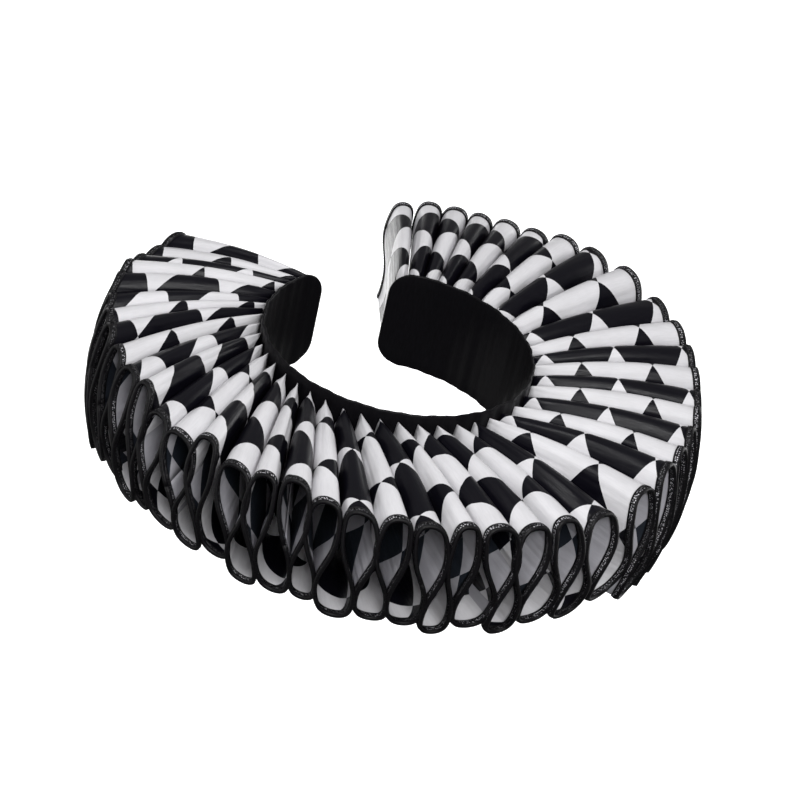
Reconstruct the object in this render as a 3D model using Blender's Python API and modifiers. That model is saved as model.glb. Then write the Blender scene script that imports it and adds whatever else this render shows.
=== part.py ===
"""Ruff collar: one long satin strip in figure-eight folds, sewn round an open neck band.

The collar is built in the neck's own frame, where +Z runs up the neck and the wearer
faces -Y, and an empty then leans all of it forward as a neck does. Angles round the neck
are degrees from centre front, positive towards the wearer's right side. The origin is the
middle of the neck band.
"""

import math

import bpy

COLLECTION_NAME = "ruff_collar"

# Driving dimensions, in metres.
NECK_LEAN = math.radians(25)  # forward lean of the neck and so of the whole collar
BAND_RADIUS = 0.0705  # inside face of the neck band
BAND_WALL = 0.0015
BAND_HEIGHT = 0.058
BAND_ENDS_DEG = (170.0, -158.0)  # the band stops here, open at the back
BAND_STEPS = 54
CLOTH_WALL = 0.001
SEAM_GAP = 0.0004  # between pieces that are sewn together
FOLD_HEIGHT_AT_BAND = 0.051  # from a loop's top to a foot where the strip is sewn on
FOLD_DIP_AT_BAND = 0.0015  # how much lower than the folds' middle the sewn middle sits

# How far a wall of a fold swings under the loop above it, as a share of the pleat's pitch.
SWING_AT_SEAM = 0.14
SWING_AT_BAND = 0.27
SWING_AT_EDGE = 0.30
WAIST_BULGE = 0.006  # extra reach of the free edge half way up a fold
FEET_LEAN = 0.33  # how far the feet lean along the collar, as a share of the pitch
LOOP_ARCH = 0.005  # how far a loop arches away from the folds' middle, half way out

SEGMENTS_PER_PLEAT = 14
# Where the rows of points lie across the strip, from the sewn edge to the free edge.
ROWS = (0.0, 0.1, 0.5, 1.0)

# Pleats are counted from the wearer's right end. The strip is joined from short lengths of
# cloth, and each join lies on the wall of a fold, where a maker hides it.
PLEATS_PER_LENGTH = 4
JOIN_AFTER_PLEAT = 0.75  # how far past a whole count each join falls
STRIP_STARTS = -0.42  # its ends hang down the backs of the first and the last fold
END_PAST_LAST_PLEAT = 0.42

# The free edge round the collar, in millimetres: how far the loops' tops and the feet
# reach from the neck's axis, and how high they are over the band's top edge.
OUTLINE_COLUMNS = ("at_deg", "top_reach", "top_rise", "foot_reach", "foot_rise")
OUTLINE = (
    (160, 152, -11, 150, -72),
    (115, 151, -6, 151, -80),
    (92, 150, -3, 149, -69),
    (68, 152, -5, 150, -64),
    (40, 154, -2, 149, -69),
    (10, 155, -7, 148, -75),
    (-18, 155, -9, 151, -75),
    (-42, 158, -3, 157, -84),
    (-58, 160, 2, 163, -82),
    (-85, 160, 9, 161, -74),
    (-105, 156, 14, 156, -66),
    (-130, 155, 5, 154, -66),
    (-162, 154, -2, 152, -68),
)

# One row for each pleat, from the wearer's right end, round the front, to the left end:
# its place at the free edge and where it is sewn to the band, for the folds don't run
# straight out, then how far its top and the foot after it stray from the outline (mm), and
# how far its top leans along the collar, as a share of the pitch.
PLEAT_COLUMNS = ("at_deg", "seam_deg", "top", "foot", "lean")
PLEATS = (
    (151.0, 166.0, 0, -2, 0.05),
    (143.5, 161.5, -3, 2, -0.04),
    (136.5, 157.0, -1, 0, 0.03),
    (130.0, 152.5, 3, -3, 0.02),
    (124.0, 144.0, 2, 1, -0.05),
    (117.0, 137.0, -1, 2, 0.03),
    (110.5, 132.5, 0, -2, 0.04),
    (104.0, 128.0, 0, 0, -0.02),
    (96.0, 123.0, -1, 2, 0.05),
    (88.0, 115.5, 0, -2, 0.06),
    (81.0, 107.5, 4, 1, 0.02),
    (75.5, 99.5, -3, 0, 0.08),
    (68.5, 92.5, -4, -2, -0.03),
    (61.5, 85.0, 4, 3, -0.06),
    (55.5, 77.0, -3, -3, 0.04),
    (49.0, 69.5, -1, 0, 0.03),
    (43.0, 62.5, 2, 2, -0.04),
    (37.5, 55.0, -4, -3, 0.05),
    (31.0, 47.0, -4, 1, -0.02),
    (24.0, 39.5, -2, 2, 0.03),
    (18.0, 32.0, -2, -1, -0.07),
    (12.0, 24.5, 0, 3, 0.06),
    (5.0, 16.5, -1, -2, -0.05),
    (-1.5, 8.5, -2, 2, 0.04),
    (-8.5, 0.0, 0, 0, -0.06),
    (-17.0, -8.0, -3, 3, 0.03),
    (-28.0, -16.0, -2, -2, -0.05),
    (-35.5, -23.0, 1, 0, 0.02),
    (-42.5, -32.0, 0, -2, -0.04),
    (-49.0, -42.0, 0, 2, 0.03),
    (-55.5, -51.5, 0, 0, -0.03),
    (-61.5, -60.0, -1, 1, 0.02),
    (-68.0, -68.0, 0, -2, 0.03),
    (-74.5, -75.0, 0, 2, -0.02),
    (-81.5, -82.0, 0, 0, 0.04),
    (-90.0, -90.5, 0, -2, -0.03),
    (-99.5, -99.5, 1, 2, 0.02),
    (-109.5, -109.0, -1, -1, 0.04),
    (-117.0, -117.0, 1, 1, -0.03),
    (-124.0, -124.0, 0, 0, 0.02),
    (-130.5, -130.5, 0, -2, -0.02),
    (-136.5, -136.5, -1, 1, 0.03),
    (-142.0, -142.0, 0, 2, -0.04),
    (-147.5, -147.5, 1, -1, 0.02),
    (-153.0, -153.0, -1, 0, 0.03),
)

MILLIMETRE = 0.001


def clear_scene():
    for obj in list(bpy.data.objects):
        bpy.data.objects.remove(obj, do_unlink=True)


def make_collection():
    collection = bpy.data.collections.new(COLLECTION_NAME)
    bpy.context.scene.collection.children.link(collection)
    return collection


def cloth_material(name, colour, roughness):
    material = bpy.data.materials.new(name)
    material.use_nodes = True
    shader = material.node_tree.nodes["Principled BSDF"]
    shader.inputs["Base Color"].default_value = (*colour, 1.0)
    shader.inputs["Roughness"].default_value = roughness
    shader.inputs["Metallic"].default_value = 0.0
    return material


def smooth(share):
    """Eases 0..1 with a level start and end."""
    return share * share * (3 - 2 * share)


def mix(a, b, share):
    return a + (b - a) * share


def column(table, columns, name):
    place = columns.index(name)
    return [row[place] for row in table]


def read_along(places, values, at):
    """A value at a place, eased between the rows on either side; places fall along the list."""
    if at >= places[0]:
        return values[0]
    for i in range(1, len(places)):
        if at >= places[i]:
            share = (places[i - 1] - at) / (places[i - 1] - places[i])
            return mix(values[i - 1], values[i], smooth(share))
    return values[-1]


def outline(name, at_deg):
    """One column of the outline at an angle, in metres."""
    places = column(OUTLINE, OUTLINE_COLUMNS, "at_deg")
    values = column(OUTLINE, OUTLINE_COLUMNS, name)
    return read_along(places, values, at_deg) * MILLIMETRE


def pleat_value(name, index):
    """One column of the pleat table, with the end rows standing in past the ends."""
    index = min(max(index, 0), len(PLEATS) - 1)
    return PLEATS[index][PLEAT_COLUMNS.index(name)]


def angle_at(name, count):
    """Degrees round the neck at a pleat count, straight between one pleat and the next."""
    first = min(max(math.floor(count), 0), len(PLEATS) - 2)
    return mix(pleat_value(name, first), pleat_value(name, first + 1), count - first)


def swing(across):
    """How far the walls swing, from folds pressed flat in the seam to open loops."""
    if across < ROWS[1]:
        return mix(SWING_AT_SEAM, SWING_AT_BAND, across / ROWS[1])
    return mix(SWING_AT_BAND, SWING_AT_EDGE, (across - ROWS[1]) / (1 - ROWS[1]))


def height_share(count):
    """1 at the top of each loop, where the count is whole, and 0 at each foot."""
    return (1 + math.cos(2 * math.pi * count)) / 2


def free_edge(count):
    """(reach, rise over the band's middle) of the strip's free edge at a pleat count."""
    at_deg = angle_at("at_deg", count)
    foot = math.floor(count)
    top = round(count)
    height = height_share(count)
    top_rise = outline("top_rise", at_deg) + pleat_value("top", top) * MILLIMETRE
    foot_rise = outline("foot_rise", at_deg) + pleat_value("foot", foot) * MILLIMETRE
    reach = mix(outline("foot_reach", at_deg), outline("top_reach", at_deg), height)
    reach += WAIST_BULGE * math.sin(2 * math.pi * count) ** 2
    return reach, mix(foot_rise, top_rise, height) + BAND_HEIGHT / 2


def in_plan(reach, at_deg):
    """The place at a reach from the neck's axis and an angle round it."""
    turn = math.radians(at_deg)
    return -reach * math.sin(turn), -reach * math.cos(turn)


def strip_point(count, across):
    """A point of the strip: count runs along it in pleats, across from band to free edge."""
    edge_reach, edge_rise = free_edge(count)
    seam_reach = BAND_RADIUS + BAND_WALL + SEAM_GAP
    seam_rise = FOLD_HEIGHT_AT_BAND / 2 * math.cos(2 * math.pi * count) - FOLD_DIP_AT_BAND
    wander = swing(across) * math.sin(4 * math.pi * count)
    lean = mix(FEET_LEAN, pleat_value("lean", round(count)), height_share(count)) * across
    seam = in_plan(seam_reach, angle_at("seam_deg", count + wander + lean))
    edge = in_plan(edge_reach, angle_at("at_deg", count + wander + lean))
    arch = LOOP_ARCH * math.sin(math.pi * across) * math.cos(2 * math.pi * count)
    rise = mix(seam_rise, edge_rise, across) + arch
    return (mix(seam[0], edge[0], across), mix(seam[1], edge[1], across), rise)


def add_sheet(name, grid, wall, material, collection, parent):
    """A sheet through a grid of points, thickened to a wall by Solidify."""
    width = len(grid[0])
    points = [point for line in grid for point in line]
    faces = []
    for i in range(len(grid) - 1):
        for j in range(width - 1):
            corner = i * width + j
            faces.append((corner, corner + 1, corner + width + 1, corner + width))
    mesh = bpy.data.meshes.new(name)
    mesh.from_pydata(points, [], faces)
    mesh.materials.append(material)
    mesh.shade_smooth()
    sheet = bpy.data.objects.new(name, mesh)
    collection.objects.link(sheet)
    sheet.parent = parent
    thicken = sheet.modifiers.new("cloth_wall", "SOLIDIFY")
    thicken.thickness = wall
    thicken.offset = 0.0
    return sheet


def strip_joins():
    """Where each length of the strip starts, and where the last one ends, in pleats."""
    last = len(PLEATS) - 1
    inner = range(PLEATS_PER_LENGTH - 1, last - PLEATS_PER_LENGTH, PLEATS_PER_LENGTH)
    joins = [pleat + JOIN_AFTER_PLEAT for pleat in inner]
    return [STRIP_STARTS, *joins, last + END_PAST_LAST_PLEAT]


def add_ruffle_length(number, first, last, material, collection, parent):
    """One length of the ruffle, between two joins counted in pleats."""
    inset = SEAM_GAP / 2 / (2 * FOLD_HEIGHT_AT_BAND)
    steps = round((last - first) * SEGMENTS_PER_PLEAT)
    grid = []
    for i in range(steps + 1):
        count = mix(first + inset, last - inset, i / steps)
        grid.append([strip_point(count, across) for across in ROWS])
    name = f"ruffle_length_{number:02d}"
    return add_sheet(name, grid, CLOTH_WALL, material, collection, parent)


def add_neck_band(material, collection, parent):
    """The straight band that the strip is sewn to, bent round the neck."""
    radius = BAND_RADIUS + BAND_WALL / 2
    grid = []
    for i in range(BAND_STEPS + 1):
        side, front = in_plan(radius, mix(*BAND_ENDS_DEG, i / BAND_STEPS))
        grid.append([(side, front, rise) for rise in (-BAND_HEIGHT / 2, 0.0, BAND_HEIGHT / 2)])
    return add_sheet("neck_band", grid, BAND_WALL, material, collection, parent)


def build():
    clear_scene()
    collection = make_collection()
    neck = bpy.data.objects.new("neck_axis", None)
    neck.rotation_euler = (NECK_LEAN, 0.0, 0.0)
    collection.objects.link(neck)
    satin = cloth_material("harlequin_satin", (0.62, 0.62, 0.65), 0.38)
    band_satin = cloth_material("black_satin", (0.012, 0.011, 0.016), 0.45)
    add_neck_band(band_satin, collection, neck)
    joins = strip_joins()
    for number, (first, last) in enumerate(zip(joins, joins[1:]), start=1):
        add_ruffle_length(number, first, last, satin, collection, neck)


build()
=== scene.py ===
# %% [markdown]
# # A harlequin ruff collar
# The real collar is one long strip of printed satin, folded into figure-eight loops and
# sewn round an open neck band. This lesson folds a flat strip with Geometry Nodes, lays the
# print on it by the cloth's own length, overlocks its edge and then lights it.
# %% Load the fixed frame
import math

import bpy
import numpy as np
from mathutils import Matrix, Vector


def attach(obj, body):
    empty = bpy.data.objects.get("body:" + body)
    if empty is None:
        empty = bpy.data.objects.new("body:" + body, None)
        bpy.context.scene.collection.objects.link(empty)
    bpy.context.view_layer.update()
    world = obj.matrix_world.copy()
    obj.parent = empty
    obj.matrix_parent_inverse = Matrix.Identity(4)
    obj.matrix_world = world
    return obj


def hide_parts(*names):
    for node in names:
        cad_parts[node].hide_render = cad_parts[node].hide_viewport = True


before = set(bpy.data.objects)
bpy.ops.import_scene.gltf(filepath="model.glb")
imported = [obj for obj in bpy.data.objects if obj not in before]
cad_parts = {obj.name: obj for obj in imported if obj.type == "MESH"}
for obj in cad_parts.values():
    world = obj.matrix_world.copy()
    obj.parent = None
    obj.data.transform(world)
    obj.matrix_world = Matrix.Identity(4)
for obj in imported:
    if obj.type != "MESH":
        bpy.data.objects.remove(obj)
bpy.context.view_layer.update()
STRIP_NODES = sorted(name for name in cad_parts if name.startswith("ruffle_length_"))
print("frame:", len(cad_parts), "nodes,", len(STRIP_NODES), "lengths of ruffle")

# %% [markdown]
# ## Sizes
# The sizes of the band and its seam are the ones that the collar's solids were built with,
# in metres and in degrees round the neck: 0 is the centre front, and angles grow towards
# the wearer's right side. The cloth is thinner here than the solids' wall. The whole collar
# is built upright round the neck's axis and then leans forward with it.
# %% Name the driving sizes
MM = 0.001
NECK_LEAN = math.radians(25)
BAND_RADIUS = 0.0705
BAND_WALL = 0.0015
BAND_HEIGHT = 0.058
BAND_ENDS_DEG = (170.0, -158.0)
SEAM_GAP = 0.0004  # between the band and the strip that is sewn to it
SEAM_REACH = BAND_RADIUS + BAND_WALL + SEAM_GAP
FOLD_HEIGHT_AT_BAND = 0.051
STRIP_WIDTH = 0.09
CLOTH_THICKNESS = 0.0004
NECK_TURN = Matrix.Rotation(NECK_LEAN, 4, "X")

# %% [markdown]
# ## The edge round the collar, and its pleats
# A maker pins the loops one at a time, so no two are alike. The first table gives the
# height and reach of the free edge round the neck. The second has a row for each pleat:
# its angle at the free edge and where it is sewn to the band, how far its top and its foot
# stray from the outline, its lean, how open its loop is, how its waist sways, and which row
# of the print lies on its top.
# %% Tabulate the edge of the ruffle
OUTLINE_COLUMNS = ("at_deg", "top_reach", "top_rise", "foot_reach", "foot_rise", "print_in")
OUTLINE = (
    (160, 152, -11, 150, -72, 1.10),
    (115, 151, -6, 151, -80, 1.08),
    (92, 150, -3, 149, -69, 0.84),
    (68, 152, -5, 150, -64, 0.75),
    (40, 154, -2, 149, -69, 0.73),
    (10, 155, -7, 148, -75, 0.72),
    (-18, 155, -9, 151, -75, 0.72),
    (-42, 158, -3, 157, -84, 0.70),
    (-58, 160, 2, 163, -82, 0.66),
    (-85, 160, 9, 161, -74, 0.64),
    (-105, 156, 14, 156, -66, 0.64),
    (-130, 155, 5, 154, -66, 0.64),
    (-162, 154, -2, 152, -68, 0.64),
)
# print_row: 0 is the middle of a white row of diamonds, 1 the middle of a black row.
PLEAT_COLUMNS = ("at_deg", "seam_deg", "top", "foot", "lean", "open", "sway", "print_row")
PLEATS = (
    (151.0, 166.0, 0, -2, 0.05, 0.82, 0.05, 0.45),
    (143.5, 161.5, -3, 2, -0.04, 0.96, -0.06, 0.10),
    (136.5, 157.0, -1, 0, 0.03, 0.98, 0.04, 1.10),
    (130.0, 152.5, 3, -3, 0.02, 0.94, -0.05, 0.00),
    (124.0, 144.0, 2, 1, -0.05, 1.00, 0.08, 0.60),
    (117.0, 137.0, -1, 2, 0.03, 0.95, -0.06, 1.40),
    (110.5, 132.5, 0, -2, 0.04, 0.97, 0.07, 0.10),
    (104.0, 128.0, 0, 0, -0.02, 0.90, -0.10, 0.68),
    (96.0, 123.0, -1, 2, 0.05, 0.86, 0.09, 0.05),
    (88.0, 115.5, 0, -2, 0.06, 0.90, -0.08, 1.30),
    (81.0, 107.5, 4, 1, 0.02, 0.84, 0.10, 0.50),
    (75.5, 99.5, -3, 0, 0.08, 1.00, -0.12, 1.17),
    (68.5, 92.5, -4, -2, -0.03, 1.20, 0.14, 1.83),
    (61.5, 85.0, 4, 3, -0.06, 0.75, -0.10, 0.50),
    (55.5, 77.0, -3, -3, 0.04, 1.10, 0.06, 1.50),
    (49.0, 69.5, -1, 0, 0.03, 0.80, -0.12, 0.30),
    (43.0, 62.5, 2, 2, -0.04, 1.02, 0.12, 1.30),
    (37.5, 55.0, -4, -3, 0.05, 1.00, -0.08, 0.20),
    (31.0, 47.0, -4, 1, -0.02, 0.90, 0.10, 1.00),
    (24.0, 39.5, -2, 2, 0.03, 0.81, -0.14, 0.15),
    (18.0, 32.0, -2, -1, -0.07, 1.03, 0.12, 1.10),
    (12.0, 24.5, 0, 3, 0.06, 0.68, -0.10, 1.85),
    (5.0, 16.5, -1, -2, -0.05, 1.02, 0.12, 0.50),
    (-1.5, 8.5, -2, 2, 0.04, 0.97, -0.12, 1.50),
    (-8.5, 0.0, 0, 0, -0.06, 0.76, 0.10, 0.30),
    (-17.0, -8.0, -3, 3, 0.03, 0.89, -0.06, 1.00),
    (-28.0, -16.0, -2, -2, 0.13, 0.92, 0.05, 0.00),
    (-35.5, -23.0, 1, 0, 0.17, 0.95, -0.04, 1.00),
    (-42.5, -32.0, 0, -2, 0.14, 1.00, 0.06, 0.00),
    (-49.0, -42.0, 0, 2, 0.18, 0.90, -0.05, 1.00),
    (-55.5, -51.5, 0, 0, 0.14, 0.97, 0.04, 0.00),
    (-61.5, -60.0, -1, 1, 0.17, 0.95, -0.05, 1.00),
    (-68.0, -68.0, 0, -2, 0.18, 1.00, 0.04, 0.00),
    (-74.5, -75.0, 0, 2, 0.15, 0.94, -0.04, 1.00),
    (-81.5, -82.0, 0, 0, 0.18, 1.00, 0.05, 0.00),
    (-90.0, -90.5, 0, -2, 0.14, 0.95, -0.04, 1.00),
    (-99.5, -99.5, 1, 2, 0.17, 0.97, 0.05, 0.00),
    (-109.5, -109.0, -1, -1, 0.18, 0.92, -0.05, 1.00),
    (-117.0, -117.0, 1, 1, 0.14, 1.00, 0.04, 0.20),
    (-124.0, -124.0, 0, 0, 0.17, 0.95, -0.04, 1.25),
    (-130.5, -130.5, 0, -2, 0.15, 0.98, 0.05, 0.40),
    (-136.5, -136.5, -1, 1, 0.18, 0.94, -0.05, 1.40),
    (-142.0, -142.0, 0, 2, 0.14, 1.00, 0.04, 0.40),
    (-147.5, -147.5, 1, -1, 0.17, 0.95, -0.04, 1.40),
    (-153.0, -153.0, -1, 0, 0.18, 0.78, 0.03, 0.40),
)
LAST_PLEAT = len(PLEATS) - 1
STEPS_PER_PLEAT = 64
END_SHARE = 27 / STEPS_PER_PLEAT  # how far the strip's ends hang down past the end pleats
STRIP_ENDS = (-END_SHARE, LAST_PLEAT + END_SHARE)
print("ruffle:", len(PLEATS), "pleats from", PLEATS[0][0], "to", PLEATS[-1][0], "degrees")


# %% Read the tables along the strip
def smooth(share):
    """Eases 0..1 with a level start and end."""
    return share * share * (3 - 2 * share)


def outline(name, at_deg):
    """One column of the outline at many angles, eased between its rows."""
    places = np.array([row[0] for row in OUTLINE], float)
    values = np.array([row[OUTLINE_COLUMNS.index(name)] for row in OUTLINE], float)
    at_deg = np.clip(at_deg, places[-1], places[0])
    after = np.clip(np.searchsorted(-places, -at_deg), 1, len(places) - 1)
    share = (places[after - 1] - at_deg) / (places[after - 1] - places[after])
    return values[after - 1] + (values[after] - values[after - 1]) * smooth(share)


def pleat_column(name, index):
    """One column of the pleat table at many pleat numbers, held at its ends."""
    values = np.array([row[PLEAT_COLUMNS.index(name)] for row in PLEATS], float)
    return values[np.clip(index.astype(int), 0, LAST_PLEAT)]


def angle_at(name, count):
    """Degrees round the neck, and degrees to the next pleat, at many pleat counts."""
    first = np.clip(np.floor(count), 0, LAST_PLEAT - 1)
    start = pleat_column(name, first)
    pitch = pleat_column(name, first + 1) - start
    return start + pitch * (count - first), pitch


# %% [markdown]
# ## The camera
# The camera is made early, at the height and turn from which the collar is usually shown,
# and far enough off for little perspective. It looks at the collar from its front, to the
# wearer's right of centre, and a little from above.
# %% Place the camera
CAMERA_TURN = math.radians(27)
CAMERA_TILT = math.radians(9.7)
CAMERA_AT = Vector((-0.584, -1.159, 0.214))
FOCAL_MM = 112.7


def make_camera():
    data = bpy.data.cameras.new("camera")
    data.lens = FOCAL_MM
    camera = bpy.data.objects.new("camera", data)
    bpy.context.scene.collection.objects.link(camera)
    camera.location = CAMERA_AT
    camera.rotation_euler = (math.pi / 2 - CAMERA_TILT, 0.0, -CAMERA_TURN)
    bpy.context.scene.camera = camera
    return camera


camera = make_camera()
print("camera at", tuple(round(c, 3) for c in camera.location))


# %% [markdown]
# ## Helpers
# Node trees, for shapes and for finishes, are wired by one small function. It adds a node,
# applies its settings, and fills its inputs with values or with links from other nodes.
# %% Define the helpers
def add_node(tree, kind, settings=None, inputs=None, output=0):
    """A node with its settings and inputs; inputs are values or sockets, by place or name."""
    node = tree.nodes.new(kind)
    for name, value in (settings or {}).items():
        setattr(node, name, value)
    for key, value in (inputs or {}).items():
        if isinstance(value, bpy.types.NodeSocket):
            tree.links.new(value, node.inputs[key])
        else:
            node.inputs[key].default_value = value
    return node.outputs[output]


def add_math(tree, operation, *values):
    """One sum, of values or sockets in their order."""
    return add_node(tree, "ShaderNodeMath", {"operation": operation}, dict(enumerate(values)))


def new_finish(name):
    """A material, with its tree and its one shader."""
    material = bpy.data.materials.new(name)
    material.use_nodes = True
    return material, material.node_tree, material.node_tree.nodes["Principled BSDF"]


def linear(hex_colour):
    """A colour of sRGB hex as the linear values that a shader takes."""
    parts = [int(hex_colour[i:i + 2], 16) / 255 for i in (1, 3, 5)]
    curve = [p / 12.92 if p <= 0.04045 else ((p + 0.055) / 1.055) ** 2.4 for p in parts]
    return (*curve, 1.0)


def link_mesh(name, mesh):
    piece = bpy.data.objects.new(name, mesh)
    bpy.context.scene.collection.objects.link(piece)
    return piece


def add_grid(name, points, across_count):
    """A sheet of quads through points that run across and then along."""
    along_count = len(points) // across_count
    i, j = np.meshgrid(np.arange(along_count - 1), np.arange(across_count - 1), indexing="ij")
    corner = (i * across_count + j).ravel()
    faces = np.stack([corner, corner + 1, corner + across_count + 1, corner + across_count], 1)
    mesh = bpy.data.meshes.new(name)
    mesh.from_pydata(points.tolist(), [], faces.tolist())
    mesh.shade_smooth()
    return mesh


def plain_mesh(piece, name):
    """What a piece's modifiers make of it, as a mesh with none."""
    seen = piece.evaluated_get(bpy.context.evaluated_depsgraph_get())
    mesh = bpy.data.meshes.new_from_object(seen)
    mesh.name = name
    return mesh


def points_of(mesh):
    flat = np.empty(len(mesh.vertices) * 3, np.float32)
    mesh.vertices.foreach_get("co", flat)
    return flat.reshape(-1, 3).astype(float)


def run_nodes(piece, tree, sizes):
    """Puts a node tree on a piece, with its sizes set by the names of its inputs."""
    modifier = piece.modifiers.new(tree.name, "NODES")
    modifier.node_group = tree
    for item in tree.interface.items_tree:
        if item.in_out == "INPUT" and item.name in sizes:
            modifier[item.identifier] = sizes[item.name]
    return modifier


def read_attribute(tree, name, kind):
    """A value that is written on the points of the mesh."""
    return add_node(tree, "GeometryNodeInputNamedAttribute", {"data_type": kind}, {"Name": name})


def new_tree(name, sizes):
    """A Geometry Nodes tree that takes a mesh and named sizes, and gives a mesh."""
    tree = bpy.data.node_groups.new(name, "GeometryNodeTree")
    tree.interface.new_socket("Mesh", in_out="INPUT", socket_type="NodeSocketGeometry")
    for label in sizes:
        tree.interface.new_socket(label, in_out="INPUT", socket_type="NodeSocketFloat")
    tree.interface.new_socket("Mesh", in_out="OUTPUT", socket_type="NodeSocketGeometry")
    return tree


# %% [markdown]
# ## Satin, printed
# The strip is polyester satin, printed with harlequin diamonds. Satin's long floating threads give
# the eye a soft stretched gleam along each fold and a very even face, while its wrong side is dull
# and shows the print greyed where the ink shows through; its white is also painted darker grey, as
# painted shade for the insides of the loops. The print reads the cloth's own UV map, in metres of
# cloth, so it bends with the folds as real print does.
# %% Draw the harlequin print
DIAMOND_ACROSS = 0.038
DIAMOND_ALONG = 0.066  # about root three times the other way, so the points are near 60 degrees
WEAVE_PITCH = 0.0007  # real floats are 0.1 mm apart; drawn this coarse to show at all
STREAK_WIDTH = 0.0050  # soft pulls that run across the strip, from seam to edge
LINE_SQUEEZE = 0.12  # how much slower floats and pulls change along their length


def harlequin(tree, uv):
    """0 on the white diamonds and 1 on the black, from metres of cloth."""
    parts = add_node(tree, "ShaderNodeSeparateXYZ", inputs={0: uv}).node.outputs
    along = add_math(tree, "DIVIDE", parts["X"], DIAMOND_ALONG)
    across = add_math(tree, "DIVIDE", parts["Y"], DIAMOND_ACROSS)
    rows = [add_math(tree, "FLOOR", add_math(tree, operation, across, along))
            for operation in ("ADD", "SUBTRACT")]
    return add_math(tree, "FLOORED_MODULO", add_math(tree, "ADD", *rows), 2.0)


def lines_across(tree, uv, pitch, detail, roughness):
    """Height of broken lines that run across the strip, a pitch apart."""
    stretch = add_node(tree, "ShaderNodeMapping", inputs={
        "Vector": uv, "Scale": (1.0 / pitch, LINE_SQUEEZE / pitch, 1.0)})
    return add_node(tree, "ShaderNodeTexNoise", {"noise_dimensions": "2D"}, {
        "Vector": stretch, "Scale": 1.0, "Detail": detail, "Roughness": roughness})


def satin_weave(tree, uv):
    """Height of the satin's floating threads."""
    return lines_across(tree, uv, WEAVE_PITCH, 2.0, 0.6)


def printed_satin(name, white, black, roughness, sheen, gleam):
    """One face of the printed satin."""
    material, tree, shader = new_finish(name)
    uv = add_node(tree, "ShaderNodeUVMap", {"uv_map": "cloth"})
    print_mask = harlequin(tree, uv)
    ink = add_node(tree, "ShaderNodeMix", {"data_type": "RGBA"}, {
        "Factor": print_mask, 6: linear(white), 7: linear(black)}, output=2)
    clouds = add_node(tree, "ShaderNodeTexNoise", {"noise_dimensions": "2D"}, {
        "Vector": uv, "Scale": 34.0, "Detail": 3.0, "Roughness": 0.55})
    cloudy = add_node(tree, "ShaderNodeMapRange", inputs={
        "Value": clouds, "From Min": 0.3, "From Max": 0.7, "To Min": 0.95, "To Max": 1.03})
    weave = satin_weave(tree, uv)
    threads = add_node(tree, "ShaderNodeMapRange", inputs={
        "Value": weave, "From Min": 0.3, "From Max": 0.7, "To Min": 0.965, "To Max": 1.025})
    both = add_math(tree, "MULTIPLY", cloudy, threads)
    colour = add_node(tree, "ShaderNodeVectorMath", {"operation": "SCALE"}, {0: ink, "Scale": both})
    tree.links.new(colour, shader.inputs["Base Color"])
    rough = add_node(tree, "ShaderNodeMapRange", inputs={
        "Value": weave, "From Min": 0.3, "From Max": 0.7,
        "To Min": roughness - 0.05, "To Max": roughness + 0.06})
    tree.links.new(rough, shader.inputs["Roughness"])
    streaks = lines_across(tree, uv, STREAK_WIDTH, 1.0, 0.4)
    pulled = add_node(tree, "ShaderNodeBump", inputs={
        "Height": streaks, "Strength": 0.8, "Distance": 0.0009})
    bump = add_node(tree, "ShaderNodeBump", inputs={
        "Height": weave, "Strength": 0.25, "Distance": 0.0002, "Normal": pulled})
    tree.links.new(bump, shader.inputs["Normal"])
    shader.inputs["Specular IOR Level"].default_value = gleam
    shader.inputs["Sheen Weight"].default_value = sheen
    shader.inputs["Sheen Roughness"].default_value = 0.4
    return material


RIGHT_SIDE = printed_satin("woven_polyester_satin_printed_face", "#CDCCCF", "#0A0910",
                           0.36, 0.0, 0.16)
# The wrong side's white is painted darker grey as painted shade of the loops' insides; its lighter
# black is the print showing through.
WRONG_SIDE_SHADED = printed_satin("woven_polyester_satin_wrong_side_painted_shade", "#A2A1A7", "#20242B",
                           0.60, 0.0, 0.10)
print("materials:", RIGHT_SIDE.name, WRONG_SIDE_SHADED.name)


# %% [markdown]
# ## Thread and band satin
# The edge is overlocked with spun black polyester, a matt dark thread. Its rim carries small pale
# flecks, partly the white satin showing between the stitches and partly painted glints where the
# thread turns over the edge. The neck band is plain black satin over stiffening.
# %% Make the thread and the band's finish
THREAD_PLY = 0.0004
FLECK_PITCH = 0.0011  # one fleck a stitch
FLECK_LANE = 0.0018  # where the needle thread lies, in from the edge


def spun_thread(name, colour, roughness):
    """A matt thread whose plies show as a fine unevenness."""
    material, tree, shader = new_finish(name)
    place = add_node(tree, "ShaderNodeTexCoord", output=3)
    fluff = add_node(tree, "ShaderNodeTexNoise", inputs={
        "Vector": place, "Scale": 0.5 / THREAD_PLY, "Detail": 3.0, "Roughness": 0.7})
    tint = add_node(tree, "ShaderNodeMapRange", inputs={
        "Value": fluff, "From Min": 0.35, "From Max": 0.7, "To Min": 0.7, "To Max": 1.9})
    base = add_node(tree, "ShaderNodeVectorMath", {"operation": "SCALE"}, {
        0: linear(colour)[:3], "Scale": tint})
    tree.links.new(base, shader.inputs["Base Color"])
    bump = add_node(tree, "ShaderNodeBump", inputs={
        "Height": fluff, "Strength": 0.5, "Distance": 0.0002})
    tree.links.new(bump, shader.inputs["Normal"])
    shader.inputs["Roughness"].default_value = roughness
    shader.inputs["Specular IOR Level"].default_value = 0.2
    return material


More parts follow.
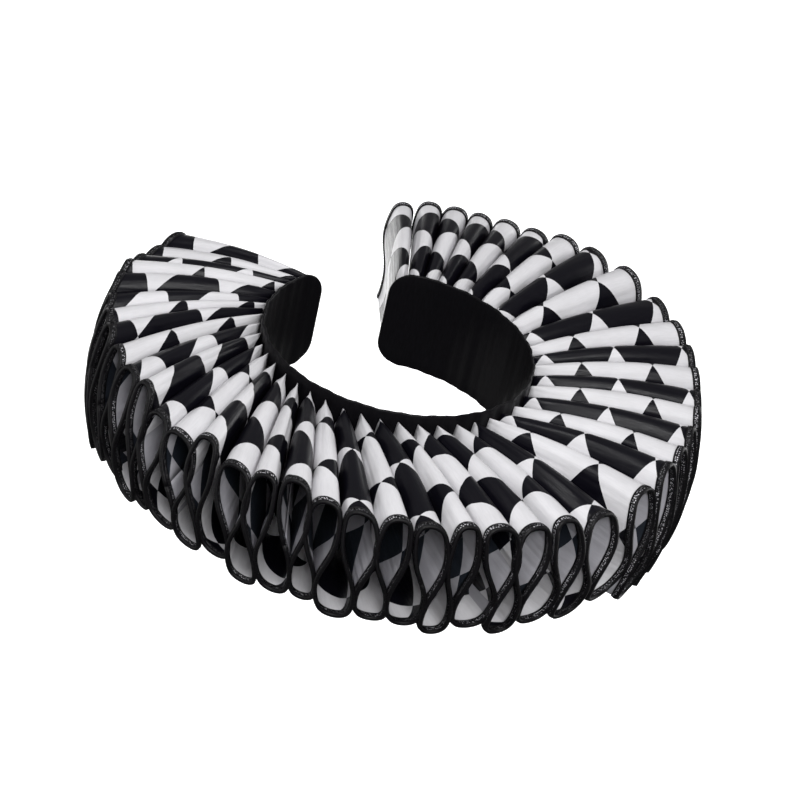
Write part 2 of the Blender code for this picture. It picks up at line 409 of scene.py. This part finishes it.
def overlocked_edge(name, thread, fleck_and_painted_glint):
    """The bound edge under its loops: black, with pale flecks where the white satin shows through,
    and fainter painted glints over the black print.
    """
    material, tree, shader = new_finish(name)
    place = add_node(tree, "ShaderNodeUVMap", {"uv_map": "edge"})
    flecks = add_node(tree, "ShaderNodeTexVoronoi", {"voronoi_dimensions": "2D"}, {
        "Vector": place, "Scale": 1.0 / FLECK_PITCH, "Randomness": 0.7})
    bright = add_node(tree, "ShaderNodeMapRange", {"interpolation_type": "SMOOTHSTEP"}, {
        "Value": flecks, "From Min": 0.18, "From Max": 0.38, "To Min": 1.0, "To Max": 0.0})
    inward = add_node(tree, "ShaderNodeSeparateXYZ", inputs={0: place}, output=1)
    from_lane = add_math(tree, "ABSOLUTE", add_math(tree, "SUBTRACT", inward, FLECK_LANE))
    lane = add_node(tree, "ShaderNodeMapRange", {"interpolation_type": "SMOOTHSTEP"}, {
        "Value": from_lane, "From Min": 0.0006, "From Max": 0.0011, "To Min": 1.0, "To Max": 0.0})
    printed = harlequin(tree, add_node(tree, "ShaderNodeUVMap", {"uv_map": "cloth"}))
    # Over the black print the flecks keep about a fifth of their pale: there they are painted
    # glints, not satin showing through.
    over_print = add_node(tree, "ShaderNodeMapRange", inputs={
        "Value": printed, "To Min": 1.0, "To Max": 0.22})
    shown = add_math(tree, "MULTIPLY", add_math(tree, "MULTIPLY", bright, lane), over_print)
    base = add_node(tree, "ShaderNodeMix", {"data_type": "RGBA"}, {
        "Factor": shown, 6: linear(thread), 7: linear(fleck_and_painted_glint)}, output=2)
    tree.links.new(base, shader.inputs["Base Color"])
    bump = add_node(tree, "ShaderNodeBump", inputs={
        "Height": flecks, "Strength": 0.5, "Distance": 0.0003})
    tree.links.new(bump, shader.inputs["Normal"])
    shader.inputs["Roughness"].default_value = 0.5
    shader.inputs["Specular IOR Level"].default_value = 0.2
    return material


def band_satin(name, colour):
    """The plain satin of the band."""
    material, tree, shader = new_finish(name)
    uv = add_node(tree, "ShaderNodeUVMap", {"uv_map": "cloth"})
    weave = satin_weave(tree, uv)
    tint = add_node(tree, "ShaderNodeMapRange", inputs={
        "Value": weave, "From Min": 0.3, "From Max": 0.7, "To Min": 0.8, "To Max": 1.25})
    base = add_node(tree, "ShaderNodeVectorMath", {"operation": "SCALE"}, {
        0: linear(colour)[:3], "Scale": tint})
    tree.links.new(base, shader.inputs["Base Color"])
    bump = add_node(tree, "ShaderNodeBump", inputs={
        "Height": weave, "Strength": 0.3, "Distance": 0.0002})
    tree.links.new(bump, shader.inputs["Normal"])
    shader.inputs["Roughness"].default_value = 0.45
    shader.inputs["Specular IOR Level"].default_value = 0.12
    return material


THREAD = spun_thread("spun_polyester_overlock_thread", "#09080B", 0.36)
# The pale #C9C8CE is the flecks' colour: white satin between the stitches, and painted glints of
# thread.
EDGE = overlocked_edge("overlocked_satin_edge", "#09080B", "#C9C8CE")
BAND_SATIN = band_satin("woven_black_satin_band", "#0A090C")

# %% [markdown]
# ## The flat strip
# The strip starts flat, as cut. Each of its points knows how many pleats along it is and
# how far across it is, and the tables' values there are written on it for the folding.
# Its ridges and creases are listed one by one: soft troughs that the hand leaves in satin, each at
# its own pleat, of its own length and depth.
# %% Lay out the strip
FEET_LEAN = 0.33  # as a share of the pitch: the feet trail behind their loops
FEET_OPEN = 1.02  # the feet press against each other all round
WIDEST_SWUNG = 7.8  # degrees to the next pleat: a wider gap opens no wider loop
ACROSS_ROWS = 22
ROWS_CROWD = 1.15  # over 1, so the rows lie closer together near the seam
FLAT_PLEAT = 1.5  # cloth laid out for each pleat, in widths of the strip
CREASE_FADE = 0.15  # share of the strip's width over which a crease's ends fade
CREASE_COLUMNS = ("count", "from", "to", "height_mm", "width")
CREASES = (
    (0.06, 0.10, 0.95, -0.5, 0.020), (0.96, 0.30, 1.00, 0.4, 0.016),
    (2.07, 0.05, 0.70, -0.4, 0.018), (3.95, 0.20, 0.90, 0.4, 0.020),
    (5.05, 0.15, 1.00, -0.5, 0.016), (6.97, 0.10, 0.60, 0.4, 0.015),
    (8.06, 0.05, 0.80, -0.6, 0.018), (8.93, 0.40, 1.00, 0.5, 0.015),
    (10.05, 0.10, 1.00, -0.6, 0.016), (11.95, 0.20, 0.90, -0.5, 0.018),
    (12.08, 0.05, 0.60, 0.5, 0.014), (13.03, 0.10, 0.95, -0.7, 0.018),
    (14.94, 0.30, 1.00, 0.4, 0.015), (15.06, 0.05, 0.90, -0.8, 0.018),
    (16.96, 0.10, 0.70, -0.5, 0.015), (17.05, 0.40, 1.00, 0.5, 0.014),
    (18.04, 0.05, 0.85, -0.6, 0.017), (19.95, 0.20, 1.00, -0.5, 0.016),
    (20.06, 0.10, 0.80, 0.5, 0.015), (21.96, 0.05, 0.95, -0.8, 0.020),
    (23.05, 0.10, 0.75, -0.6, 0.016), (24.06, 0.30, 1.00, 0.5, 0.015),
    (24.95, 0.05, 0.90, -0.8, 0.018), (26.07, 0.10, 0.70, -0.6, 0.020),
    (27.94, 0.30, 1.00, 0.4, 0.015), (29.05, 0.15, 0.90, -0.4, 0.016),
    (31.05, 0.20, 1.00, 0.3, 0.015), (33.95, 0.10, 0.80, -0.4, 0.018),
    (35.06, 0.30, 1.00, -0.3, 0.016), (37.95, 0.10, 0.90, 0.4, 0.018),
    (39.05, 0.20, 1.00, -0.5, 0.016), (41.94, 0.10, 0.80, 0.4, 0.016),
    (43.05, 0.20, 0.95, -0.4, 0.018),
)


def crease_height(count, across):
    """The sum of the creases at many points, each fading out at its two ends."""
    height = np.zeros(len(count))
    for row in CREASES:
        crease = dict(zip(CREASE_COLUMNS, row))
        beside = np.exp(-((count - crease["count"]) / crease["width"]) ** 2)
        from_start = np.clip((across - crease["from"]) / CREASE_FADE, 0, 1)
        to_end = np.clip((crease["to"] - across) / CREASE_FADE, 0, 1)
        height += crease["height_mm"] * MM * beside * smooth(from_start * to_end)
    return height


def flat_strip():
    """The strip as cut, a grid in metres of cloth that carries its pleats' values."""
    steps = round((STRIP_ENDS[1] - STRIP_ENDS[0]) * STEPS_PER_PLEAT)
    counts = np.linspace(*STRIP_ENDS, steps + 1)
    shares = np.linspace(0, 1, ACROSS_ROWS) ** ROWS_CROWD
    count, across = (a.ravel() for a in np.meshgrid(counts, shares, indexing="ij"))
    at_deg, pitch_deg = angle_at("at_deg", count)
    seam_deg, seam_pitch_deg = angle_at("seam_deg", count)
    top, foot = np.round(count), np.floor(count)
    height = (1 + np.cos(2 * np.pi * count)) / 2
    top_rise = outline("top_rise", at_deg) + pleat_column("top", top)
    foot_rise = outline("foot_rise", at_deg) + pleat_column("foot", foot)
    reach = outline("foot_reach", at_deg) * (1 - height) + outline("top_reach", at_deg) * height
    open_top = pleat_column("open", top)
    values = {
        "count": count,
        "across": across,
        "edge_at": np.radians(at_deg),
        "edge_pitch": np.radians(np.maximum(pitch_deg, -WIDEST_SWUNG)),
        "seam_at": np.radians(seam_deg),
        "seam_pitch": np.radians(seam_pitch_deg),
        "lean": FEET_LEAN + (pleat_column("lean", top) - FEET_LEAN) * height,
        "sway": pleat_column("sway", top),
        "open": FEET_OPEN + (open_top - FEET_OPEN) * smooth(height),
        "edge_reach": reach * MM,
        "edge_rise": (foot_rise + (top_rise - foot_rise) * height) * MM + BAND_HEIGHT / 2,
        "crease": crease_height(count, across),
    }
    points = np.stack([count * STRIP_WIDTH * FLAT_PLEAT, across * STRIP_WIDTH, 0 * count], 1)
    mesh = add_grid("flat_strip", points, ACROSS_ROWS)
    for name, value in values.items():
        mesh.attributes.new(name, "FLOAT", "POINT").data.foreach_set("value", value)
    return link_mesh("flat_strip", mesh), count, across


strip, strip_count, strip_across = flat_strip()
print("flat strip:", len(strip.data.vertices), "points")

# %% [markdown]
# ## Folding by a rule
# In a figure-eight ruff the walls swing under the loops, so that each loop closes on
# itself. A sine along the strip lifts and drops the cloth, and a second sine of twice its
# rate swings the walls to and fro. That is a rule, so Geometry Nodes fold the strip: one
# tree moves every point from the flat cloth to its place round the neck.
# %% Build the folding tree
FOLD_SIZES = {
    "Seam swing": -0.05,
    "Loop swing": 0.370,
    "Second swing": 0.006,
    "Third swing": 0.026,
    "Loops open by": 0.13,
    "Seam reach": SEAM_REACH,
    "Seam height": FOLD_HEIGHT_AT_BAND / 2,
    "Seam dip": 0.0015,
    "Waist bulge": 0.006,
    "Loop arch": 0.0035,
    "Neck lean": NECK_LEAN,
}


def folding_tree():
    """Moves each point of the flat strip to its place round the neck."""
    tree = new_tree("fold_the_strip", FOLD_SIZES)
    size = tree.nodes.new("NodeGroupInput").outputs

    def read(name):
        return read_attribute(tree, name, "FLOAT")

    def calc(operation, *values):
        return add_math(tree, operation, *values)

    across = read("across")
    phase = calc("MULTIPLY", read("count"), 2 * math.pi)
    up = calc("COSINE", phase)
    side = calc("SINE", phase)
    level = calc("MULTIPLY", side, side)
    opening = add_node(tree, "ShaderNodeMapRange", {"interpolation_type": "SMOOTHSTEP"}, {
        "Value": across, "From Min": 0.0, "From Max": size["Loops open by"],
        "To Min": size["Seam swing"], "To Max": size["Loop swing"]})
    swing = calc("MULTIPLY", calc("MULTIPLY", opening, read("open")),
                 calc("SINE", calc("MULTIPLY", phase, 2.0)))
    second = calc("MULTIPLY", size["Second swing"], calc("SINE", calc("MULTIPLY", phase, 4.0)))
    third = calc("MULTIPLY", size["Third swing"], calc("SINE", calc("MULTIPLY", phase, 6.0)))
    ripple = calc("MULTIPLY", calc("ADD", second, third), across)
    drift = calc("MULTIPLY", calc("MULTIPLY_ADD", read("sway"), level, read("lean")), across)
    wander = calc("ADD", calc("ADD", swing, ripple), drift)
    edge_reach = calc("MULTIPLY_ADD", size["Waist bulge"], level, read("edge_reach"))
    seam_rise = calc("SUBTRACT", calc("MULTIPLY", size["Seam height"], up), size["Seam dip"])
    bow = calc("MULTIPLY", calc("SINE", calc("MULTIPLY", across, math.pi)), size["Loop arch"])

    def round_the_neck(reach, at, pitch, rise):
        """A place at a reach and height, turned round the neck by its swing in pleats."""
        turn = calc("MULTIPLY_ADD", pitch, wander, at)
        outward = calc("MULTIPLY", reach, -1.0)
        return add_node(tree, "ShaderNodeCombineXYZ", inputs={
            "X": calc("MULTIPLY", outward, calc("SINE", turn)),
            "Y": calc("MULTIPLY", outward, calc("COSINE", turn)),
            "Z": calc("MULTIPLY_ADD", bow, up, rise)})

    at_seam = round_the_neck(size["Seam reach"], read("seam_at"), read("seam_pitch"), seam_rise)
    at_edge = round_the_neck(edge_reach, read("edge_at"), read("edge_pitch"), read("edge_rise"))
    place = add_node(tree, "ShaderNodeMix", {"data_type": "VECTOR"}, {
        "Factor": across, 4: at_seam, 5: at_edge}, output=1)
    leaned = add_node(tree, "ShaderNodeVectorRotate", {"rotation_type": "X_AXIS"}, {
        "Vector": place, "Angle": size["Neck lean"]})
    folded = add_node(tree, "GeometryNodeSetPosition", inputs={
        "Geometry": size["Mesh"], "Position": leaned})
    ridge = add_node(tree, "ShaderNodeVectorMath", {"operation": "SCALE"}, {
        0: add_node(tree, "GeometryNodeInputNormal"), "Scale": read("crease")})
    creased = add_node(tree, "GeometryNodeSetPosition", inputs={
        "Geometry": folded, "Offset": ridge})
    out = tree.nodes.new("NodeGroupOutput")
    tree.links.new(creased, out.inputs["Mesh"])
    return tree


run_nodes(strip, folding_tree(), FOLD_SIZES)
folded_mesh = plain_mesh(strip, "folded_strip")
folded_points = points_of(folded_mesh).reshape(-1, ACROSS_ROWS, 3)
bpy.data.objects.remove(strip)
print("folded strip spans", np.round(np.ptp(folded_points.reshape(-1, 3), axis=0), 4))

# %% [markdown]
# ## Laying the print on the folded cloth
# The print can't be stretched, so its place along the strip is measured on the folded
# cloth. Between one fold's top and the next the rows follow the cloth's length, and each
# top takes the row that the pleat table gives. Across the strip it is measured from the
# free edge, where the strip was cut a little askew of the print.
# %% Measure the cloth and write its UV map
HALF_ROWS_PER_PLEAT = 5.0
MEASURED_AT = 0.75  # how far out from the seam the cloth's length is measured


def print_rows_at_tops():
    """The row of print at each top, counted on from the first, nearly five a pleat."""
    rows = [PLEATS[0][-1]]
    for pleat in PLEATS[1:]:
        expected = rows[-1] + HALF_ROWS_PER_PLEAT
        rows.append(pleat[-1] + 2 * round((expected - pleat[-1]) / 2))
    return np.array(rows)


def cloth_uv():
    """Metres along and across the cloth at each point of the strip."""
    count = strip_count.reshape(-1, ACROSS_ROWS)[:, 0]
    row = round(MEASURED_AT * (ACROSS_ROWS - 1))
    step = np.linalg.norm(np.diff(folded_points[:, row], axis=0), axis=1)
    length = np.concatenate([[0], np.cumsum(step)])
    tops = np.arange(len(PLEATS))
    length_at_tops = np.interp(tops, count, length)
    rows = print_rows_at_tops()
    ends = [np.interp(STRIP_ENDS[i], count, length) for i in (0, 1)]
    pace = np.mean(np.diff(rows)) / np.mean(np.diff(length_at_tops))
    length_known = np.concatenate([[ends[0]], length_at_tops, [ends[1]]])
    rows_known = np.concatenate([
        [rows[0] - (length_at_tops[0] - ends[0]) * pace], rows,
        [rows[-1] + (ends[1] - length_at_tops[-1]) * pace]])
    along = np.interp(length, length_known, rows_known) * DIAMOND_ALONG / 2
    wide = np.linalg.norm(np.diff(folded_points, axis=1), axis=2)
    from_seam = np.concatenate([np.zeros((len(wide), 1)), np.cumsum(wide, axis=1)], axis=1)
    from_edge = from_seam[:, -1:] - from_seam
    slip = outline("print_in", angle_at("at_deg", count)[0]) * DIAMOND_ACROSS
    across = from_edge - slip[:, None]
    along = np.repeat(along[:, None], ACROSS_ROWS, axis=1)
    return np.stack([along, across], axis=2), length, from_seam[:, -1]


uv_points, strip_length, strip_widths = cloth_uv()
print("strip: %.2f m long, %.1f mm wide" % (strip_length[-1], strip_widths.mean() * 1000))


# %% [markdown]
# ## Cutting the strip into its lengths
# Satin comes in short widths, so the strip is joined from several lengths on the walls of
# its folds. Each length takes its part of the folded cloth and a Solidify modifier gives
# it two faces, the printed one and the dull one.
# %% Make each length of ruffle
PLEATS_PER_LENGTH = 4
JOIN_BEFORE_PLEAT = 0.25  # how far before a whole count each join lies, on a fold's wall


def lay_uv(mesh, name, places):
    """A UV map from one place for each point of a mesh."""
    corner_point = np.empty(len(mesh.loops), np.int32)
    mesh.loops.foreach_get("vertex_index", corner_point)
    layer = mesh.uv_layers.new(name=name)
    layer.data.foreach_set("uv", places.reshape(-1, 2)[corner_point].ravel())


def sheet_with_uv(name, rows):
    """A part of the folded strip between two of its rows, with its UV map."""
    mesh = add_grid(name, folded_points[rows].reshape(-1, 3), ACROSS_ROWS)
    lay_uv(mesh, "cloth", uv_points[rows])
    return mesh


def thicken(mesh, name, thickness, materials, offset=0.0):
    """A sheet given its thickness, with a material for each face and for its edges."""
    piece = link_mesh(name, mesh)
    for material in materials:
        mesh.materials.append(material)
    wall = piece.modifiers.new("wall", "SOLIDIFY")
    wall.thickness = thickness
    wall.offset = offset
    wall.use_even_offset = False
    wall.material_offset = min(1, len(materials) - 1)
    wall.material_offset_rim = len(materials) - 1
    solid = plain_mesh(piece, name)
    bpy.data.objects.remove(piece)
    return link_mesh(name, solid)


def strip_joins():
    """Counts at which the lengths meet, from the solids' own joins: every fourth pleat."""
    inner = [PLEATS_PER_LENGTH * i - JOIN_BEFORE_PLEAT for i in range(1, len(STRIP_NODES))]
    return [STRIP_ENDS[0], *inner, STRIP_ENDS[1]]


joins = strip_joins()
rows_at = [round((c - STRIP_ENDS[0]) * STEPS_PER_PLEAT) for c in joins]
lengths = []
for node, first, last in zip(STRIP_NODES, rows_at, rows_at[1:]):
    rows = slice(first, last + 1)
    mesh = sheet_with_uv(node + "_sheet", rows)
    piece = thicken(mesh, node.replace("ruffle", "satin"), CLOTH_THICKNESS,
                    (RIGHT_SIDE, WRONG_SIDE_SHADED, THREAD))
    lengths.append((node, piece, rows, strip_length[last] - strip_length[first]))
print("lengths of ruffle:", len(lengths), "the first", round(lengths[0][3], 3), "m long")


# %% [markdown]
# ## The overlocked edge
# The free edge is bound by an overlocker: loops of black thread wrap it, close together,
# and hide 3 to 4 mm of both faces. A thin dark rim of the cloth carries the mass of the
# thread, and Geometry Nodes wrap the single loops of thread round it, spaced along the
# edge by the machine's stitch length.
# %% Make the rim
RIM_WIDTH = 0.0036
RIM_THICKNESS = 0.0018
RIM_ROWS = 4
RIM_PROUD = 0.0004


def rim_mesh(name, rows):
    """The sheet's last few millimetres, carried a little past its free edge."""
    edge = folded_points[rows][:, -1]
    inward = folded_points[rows][:, -2] - edge
    inward /= np.linalg.norm(inward, axis=1)[:, None]
    shares = np.linspace(-RIM_PROUD, RIM_WIDTH, RIM_ROWS)[::-1]
    points = edge[:, None] + inward[:, None] * shares[None, :, None]
    mesh = add_grid(name, points.reshape(-1, 3), RIM_ROWS)
    along = np.repeat(strip_length[rows][:, None], RIM_ROWS, axis=1)
    from_edge = np.repeat(shares[None, :], len(edge), axis=0)
    lay_uv(mesh, "edge", np.stack([along, from_edge], axis=2))
    lay_uv(mesh, "cloth", np.repeat(uv_points[rows][:, -1:], RIM_ROWS, axis=1))
    return mesh


for node, _, rows, _ in lengths:
    name = node.replace("ruffle_length", "overlocked_rim")
    rim = thicken(rim_mesh(name, rows), name, RIM_THICKNESS, (EDGE,))
    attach(rim, "root")

# %% Wrap the edge with loops of thread
STITCH_SIZES = {
    "Stitch length": 0.00105,
    "Thread radius": 0.00021,
    "Rim width": RIM_WIDTH,
    "Rim thickness": RIM_THICKNESS,
    "Slant": 0.30,
}
SLANT_STRAY = 0.12  # radians by which single loops slant more or less
LOOP_CORNERS = 10
THREAD_SIDES = 3
LOOP_WIDER = 1.4  # thread radii by which a loop is wider than the rim it wraps
LOOP_THICKER = 1.6  # and thicker


def overlock_tree():
    """Wraps a line with loops of thread, turned by the line's own directions."""
    tree = new_tree("overlock_the_edge", STITCH_SIZES)
    size = tree.nodes.new("NodeGroupInput").outputs

    edge = add_node(tree, "GeometryNodeMeshToCurve", inputs={"Mesh": size["Mesh"]})
    stitched = add_node(tree, "GeometryNodeResampleCurve", {"mode": "LENGTH"}, {
        "Curve": edge, "Length": size["Stitch length"]})
    ring = add_node(tree, "GeometryNodeCurvePrimitiveCircle", inputs={
        "Resolution": LOOP_CORNERS, "Radius": 0.5})
    wide = add_math(tree, "MULTIPLY_ADD", size["Thread radius"], LOOP_WIDER, size["Rim width"])
    thick = add_math(tree, "MULTIPLY_ADD", size["Thread radius"], LOOP_THICKER,
                     size["Rim thickness"])
    shape = add_node(tree, "ShaderNodeCombineXYZ", inputs={"X": wide, "Y": thick, "Z": 1.0})
    loop = add_node(tree, "GeometryNodeTransform", inputs={"Geometry": ring, "Scale": shape})
    ply = add_node(tree, "GeometryNodeCurvePrimitiveCircle", inputs={
        "Resolution": THREAD_SIDES, "Radius": size["Thread radius"]})
    wrap = add_node(tree, "GeometryNodeCurveToMesh", inputs={"Curve": loop, "Profile Curve": ply})
    facing = add_node(tree, "FunctionNodeAxesToRotation", {
        "primary_axis": "X", "secondary_axis": "Y"}, {
        "Primary Axis": read_attribute(tree, "inward", "FLOAT_VECTOR"),
        "Secondary Axis": read_attribute(tree, "facing", "FLOAT_VECTOR")})
    chance = add_node(tree, "FunctionNodeRandomValue", {"data_type": "FLOAT"}, {
        2: -SLANT_STRAY, 3: SLANT_STRAY, "Seed": 3}, output=1)
    slant = add_math(tree, "ADD", size["Slant"], chance)
    tilt = add_node(tree, "FunctionNodeAxisAngleToRotation", inputs={
        "Axis": (0.0, 1.0, 0.0), "Angle": slant})
    turned = add_node(tree, "FunctionNodeRotateRotation", {"rotation_space": "LOCAL"}, {
        "Rotation": facing, "Rotate By": tilt})
    stitches = add_node(tree, "GeometryNodeInstanceOnPoints", inputs={
        "Points": stitched, "Instance": wrap, "Rotation": turned})
    real = add_node(tree, "GeometryNodeRealizeInstances", inputs={"Geometry": stitches})
    threaded = add_node(tree, "GeometryNodeSetMaterial", inputs={
        "Geometry": real, "Material": THREAD})
    out = tree.nodes.new("NodeGroupOutput")
    tree.links.new(threaded, out.inputs["Mesh"])
    return tree


def edge_line(name, rows):
    """The middle of the rim as a line that knows which way is inward and which way is out."""
    part = folded_points[rows]
    inward = part[:, -2] - part[:, -1]
    inward /= np.linalg.norm(inward, axis=1)[:, None]
    along = np.gradient(part[:, -1], axis=0)
    facing = np.cross(along, inward)
    facing /= np.linalg.norm(facing, axis=1)[:, None]
    middle = part[:, -1] + inward * (RIM_WIDTH - RIM_PROUD) / 2
    mesh = bpy.data.meshes.new(name)
    last = len(middle) - 1
    mesh.from_pydata(middle.tolist(), [(i, i + 1) for i in range(last)], [])
    for label, vectors in (("inward", inward), ("facing", facing)):
        layer = mesh.attributes.new(label, "FLOAT_VECTOR", "POINT")
        layer.data.foreach_set("vector", vectors.ravel())
    return link_mesh(name, mesh)


overlocker = overlock_tree()
threads = {}
for node, _, rows, _ in lengths:
    name = node.replace("ruffle_length", "overlock_stitches")
    line = edge_line(name + "_line", rows)
    run_nodes(line, overlocker, STITCH_SIZES)
    threads[node] = link_mesh(name, plain_mesh(line, name))
    bpy.data.objects.remove(line)
    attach(threads[node], "root")
print("overlock:", sum(len(t.data.polygons) for t in threads.values()), "faces of thread")

# %% [markdown]
# ## The neck band
# The band is a straight strip of black satin folded over stiffening, so its two long edges
# are soft folds. It is a loft round the neck with a slightly uneven face, because the
# pleats that are sewn to it pull at it.
# %% Make the neck band
BAND_STEPS = 180
BAND_CORNER = 0.014  # the band's four corners are turned in a round
CORNER_STEPS = 10
BAND_SECTION = 10  # points up each face
BAND_FOLD_STEPS = 7  # round the fold at its top and bottom
BAND_SHARP = math.radians(40)
BAND_WOBBLES = ((0.00025, 57, 0), (0.0003, 23, 1))  # metres deep, rate round the neck, start


def band_section():
    """(distance from the middle of the wall, height) round the folded band's section."""
    half, top = BAND_WALL / 2, BAND_HEIGHT / 2
    rise = np.linspace(-top + half, top - half, BAND_SECTION)
    turn = np.linspace(0, math.pi, BAND_FOLD_STEPS)[1:-1]
    outer = [(half, z) for z in rise]
    over = [(half * math.cos(t), top - half + half * math.sin(t)) for t in turn]
    inner = [(-half, z) for z in rise[::-1]]
    under = [(-half * math.cos(t), -top + half - half * math.sin(t)) for t in turn]
    return np.array(outer + over + inner + under)


def band_stations():
    """Angles along the band, and the share of its height there, less at its round corners."""
    start, end = np.radians(BAND_ENDS_DEG)
    length = abs(end - start) * BAND_RADIUS
    near = BAND_CORNER * (1 - np.cos(np.linspace(0, math.pi / 2, CORNER_STEPS)))
    middle = np.linspace(BAND_CORNER, length - BAND_CORNER, BAND_STEPS)[1:-1]
    from_start = np.concatenate([near, middle, (length - near)[::-1]])
    from_end = np.minimum(np.minimum(from_start, length - from_start), BAND_CORNER)
    cut = BAND_CORNER - np.sqrt(BAND_CORNER ** 2 - (BAND_CORNER - from_end) ** 2)
    return start + (end - start) * from_start / length, 1 - cut / (BAND_HEIGHT / 2)


def make_band():
    """The band as one closed loft through its section, with its cloth's own UV map."""
    section = band_section()
    turns, rise_share = band_stations()
    wobble = sum(deep * np.sin(turns * rate + start) for deep, rate, start in BAND_WOBBLES)
    radius = BAND_RADIUS + BAND_WALL / 2 + section[None, :, 0] + wobble[:, None]
    points = np.stack([-radius * np.sin(turns)[:, None], -radius * np.cos(turns)[:, None],
                       section[None, :, 1] * rise_share[:, None]], axis=2)
    ring = len(section)
    faces = []
    for i in range(len(turns) - 1):
        for j in range(ring):
            k = (j + 1) % ring
            faces.append((i * ring + j, (i + 1) * ring + j, (i + 1) * ring + k, i * ring + k))
    last = (len(turns) - 1) * ring
    faces.append(tuple(range(ring)))
    faces.append(tuple(last + j for j in reversed(range(ring))))
    mesh = bpy.data.meshes.new("satin_neck_band")
    mesh.from_pydata(points.reshape(-1, 3).tolist(), [], faces)
    mesh.transform(NECK_TURN)
    layer = mesh.uv_layers.new(name="cloth")
    around = np.concatenate([[0], np.cumsum(np.linalg.norm(np.diff(section, axis=0), axis=1))])
    for loop in mesh.loops:
        i, j = divmod(loop.vertex_index, ring)
        layer.data[loop.index].uv = (-turns[i] * BAND_RADIUS, around[j])
    mesh.materials.append(BAND_SATIN)
    mesh.shade_smooth()
    mesh.set_sharp_from_angle(angle=BAND_SHARP)
    return link_mesh("satin_neck_band", mesh)


band = make_band()
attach(band, "root")
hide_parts("neck_band")
print("band:", len(band.data.polygons), "faces")

# %% [markdown]
# ## Hanging the lengths of satin
# Each length of satin is a sheet that was cut flat and then gathered into its folds, and the band
# is a sheet too. Each length hangs from the root, and the frame's solid for it is hidden.
for node, piece, rows, length in lengths:
    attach(piece, "root")
    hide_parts(node)

# %% [markdown]
# ## The studio
# A pale sweep of paper, far enough below that the collar casts no hard shadow, soft light
# from all round and one broad light from the upper left front, which draws the gleam along
# the folds of the satin. A low light in front reaches into the loops, and wide ones at the
# sides and the back keep the far loops readable as the collar is turned.
# %% Set the stage
FLOOR_Z = -0.32
SWEEP_FRONT = -2.6
SWEEP_BEND_AT = 0.9  # where the floor starts to curve up
SWEEP_BEND = 0.9  # radius of that curve
SWEEP_TOP = 3.2
SWEEP_HALF_WIDTH = 3.0
WORLD_STRENGTH = 0.285
LIGHT_COLUMNS = ("name", "place", "size", "watts")
LIGHTS = (
    ("key", (-0.9, -1.2, 1.7), (0.7, 0.7), 20),
    ("front", (-0.5, -1.9, 0.45), (0.9, 0.9), 30),
    ("left_side", (1.9, 0.2, 0.1), (1.2, 1.2), 26),
    ("right_side", (-1.8, 0.8, 0.1), (1.2, 1.2), 10),
    ("back", (0.3, 1.9, 0.3), (1.2, 1.2), 13),
)


def make_sweep():
    """A floor that curves up into a backdrop behind the collar."""
    profile = [(SWEEP_FRONT, FLOOR_Z), (SWEEP_BEND_AT, FLOOR_Z)]
    profile += [(SWEEP_BEND_AT + SWEEP_BEND * math.sin(t),
                 FLOOR_Z + SWEEP_BEND - SWEEP_BEND * math.cos(t))
                for t in np.linspace(0.1, math.pi / 2, 12)]
    profile.append((SWEEP_BEND_AT + SWEEP_BEND, SWEEP_TOP))
    points = np.array([(x, y, z) for y, z in profile
                       for x in (-SWEEP_HALF_WIDTH, SWEEP_HALF_WIDTH)])
    mesh = add_grid("paper_sweep", points, 2)
    mesh.transform(Matrix.Rotation(-CAMERA_TURN, 4, "Z"))
    paper, _, shader = new_finish("matt_white_paper")
    shader.inputs["Base Color"].default_value = linear("#FAFAFB")
    shader.inputs["Roughness"].default_value = 0.9
    shader.inputs["Emission Color"].default_value = linear("#FFFFFF")
    shader.inputs["Emission Strength"].default_value = 0.7
    mesh.materials.append(paper)
    sweep = link_mesh("paper_sweep", mesh)
    sweep.visible_diffuse = False  # the paper shows, but throws no light up into the folds
    sweep.visible_glossy = False
    sweep.visible_shadow = False


def add_area_light(name, place, size, watts):
    """A wide lamp that faces the middle of the band."""
    data = bpy.data.lights.new(name, "AREA")
    data.shape = "RECTANGLE"
    data.size, data.size_y = size
    data.energy = watts
    light = bpy.data.objects.new(name, data)
    bpy.context.scene.collection.objects.link(light)
    light.location = place
    light.rotation_euler = (-Vector(place)).to_track_quat("-Z", "Y").to_euler()


def set_world(strength):
    """Light from all round, stronger from above."""
    world = bpy.data.worlds.new("studio")
    world.use_nodes = True
    tree = world.node_tree
    back = tree.nodes["Background"]
    back.inputs["Color"].default_value = linear("#FFFFFF")
    direction = add_node(tree, "ShaderNodeTexCoord")
    up = add_node(tree, "ShaderNodeSeparateXYZ", inputs={0: direction}, output=2)
    from_above = add_node(tree, "ShaderNodeMapRange", {"interpolation_type": "SMOOTHSTEP"}, {
        "Value": up, "From Min": -0.6, "From Max": 0.9,
        "To Min": 0.35 * strength, "To Max": 1.3 * strength})
    tree.links.new(from_above, back.inputs["Strength"])
    bpy.context.scene.world = world


make_sweep()
set_world(WORLD_STRENGTH)
for light in LIGHTS:
    add_area_light(**dict(zip(LIGHT_COLUMNS, light)))
bpy.context.scene.view_settings.view_transform = "Standard"
print("studio: sweep and", len(LIGHTS), "lights")

# %% Finish
bpy.context.view_layer.update()
